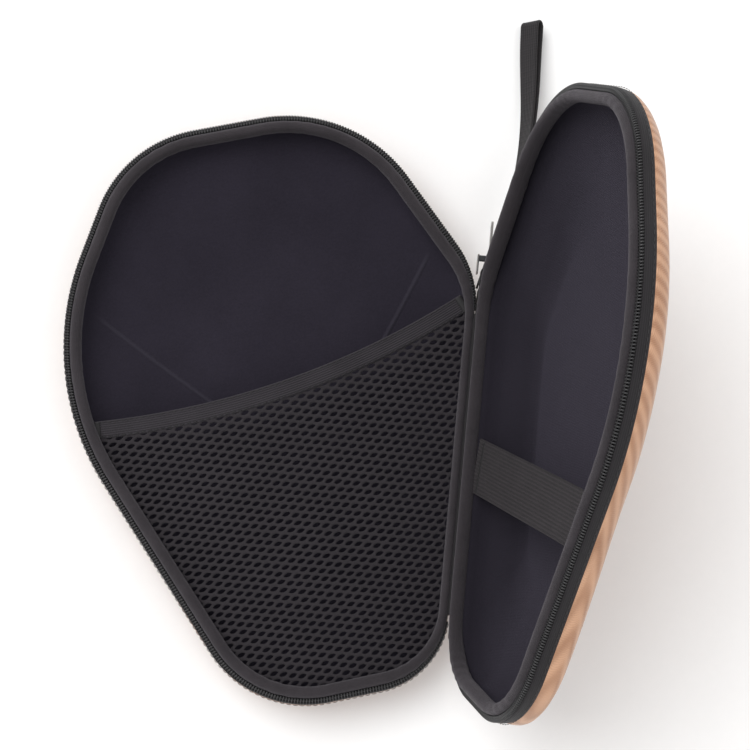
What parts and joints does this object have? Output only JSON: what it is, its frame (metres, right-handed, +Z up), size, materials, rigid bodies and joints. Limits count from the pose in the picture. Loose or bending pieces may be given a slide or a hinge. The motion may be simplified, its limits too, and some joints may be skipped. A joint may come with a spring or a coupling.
{
  "type": "table tennis paddle case",
  "caption": "Hard-shell paddle case: two domed foam halves with a zip rim, hinged on a cloth spine, with a net pocket, an elastic band and a hand loop.",
  "frame": {"origin": "The middle of the flat back of the pocket half, on the surface that the case lies on.", "axes": "+Z up out of the pocket half's mouth, +Y along the hinge towards the wide end of the case, +X from the pocket half towards the hinge and the raised tray half."},
  "size_m": [0.2511, 0.3329, 0.2085],
  "materials": {
    "coated_cloth": "soft sheen, woven twill embossing",
    "foam": "closed-cell foam",
    "lining_cloth": "brushed knit",
    "roll_cloth": "ribbed binding",
    "zip_tape": "woven tape",
    "zip_chain": "moulded nylon coil",
    "net": "air mesh knit",
    "elastic": "ribbed elastic",
    "thread": "close stitching",
    "spine_cloth": "plain weave",
    "slider_metal": "black enamel",
    "webbing": "flat webbing"
  },
  "bodies": {
    "pocket_half": {"pocket_skin": "coated_cloth", "pocket_foam_shell": "foam", "pocket_lining": "lining_cloth", "pocket_rim_roll": "roll_cloth", "pocket_zip_tape": "zip_tape", "pocket_zip_chain": "zip_chain", "net_pocket": "net", "net_pocket_hem": "elastic", "net_hem_tacks": "thread", "spine_strip": "spine_cloth", "spine_lining": "spine_cloth", "zip_end_tab_upper": "spine_cloth", "zip_end_tab_lower": "spine_cloth", "zip_slider": "slider_metal", "hand_loop_tab": "webbing"},
    "tray_half": {"tray_skin": "coated_cloth", "tray_foam_shell": "foam", "tray_lining": "lining_cloth", "tray_rim_roll": "roll_cloth", "tray_zip_tape": "zip_tape", "tray_zip_chain": "zip_chain", "elastic_band": "elastic", "elastic_band_tacks": "thread"},
    "loop": {"hand_loop": "webbing"},
    "pull": {"zip_pull": "slider_metal"}
  },
  "joints": [
    {"name": "case_hinge", "type": "hinge", "parent": "pocket_half", "child": "tray_half", "pos_m": [0.0822, 0, 0.0275], "axis": [0, 1, 0], "range_deg": [-105, 75], "deforming": ["spine_strip", "spine_lining"]},
    {"name": "hand_loop_swing", "type": "hinge", "parent": "pocket_half", "child": "loop", "pos_m": [0.0822, 0.065, 0.0185], "axis": [0, 0, 1], "range_deg": [-6, 30]},
    {"name": "zip_pull_swing", "type": "hinge", "parent": "pocket_half", "child": "pull", "pos_m": [0.08535, 0.073, 0.0275], "axis": [0, 0, 1], "range_deg": [-30, 3]}
  ]
}
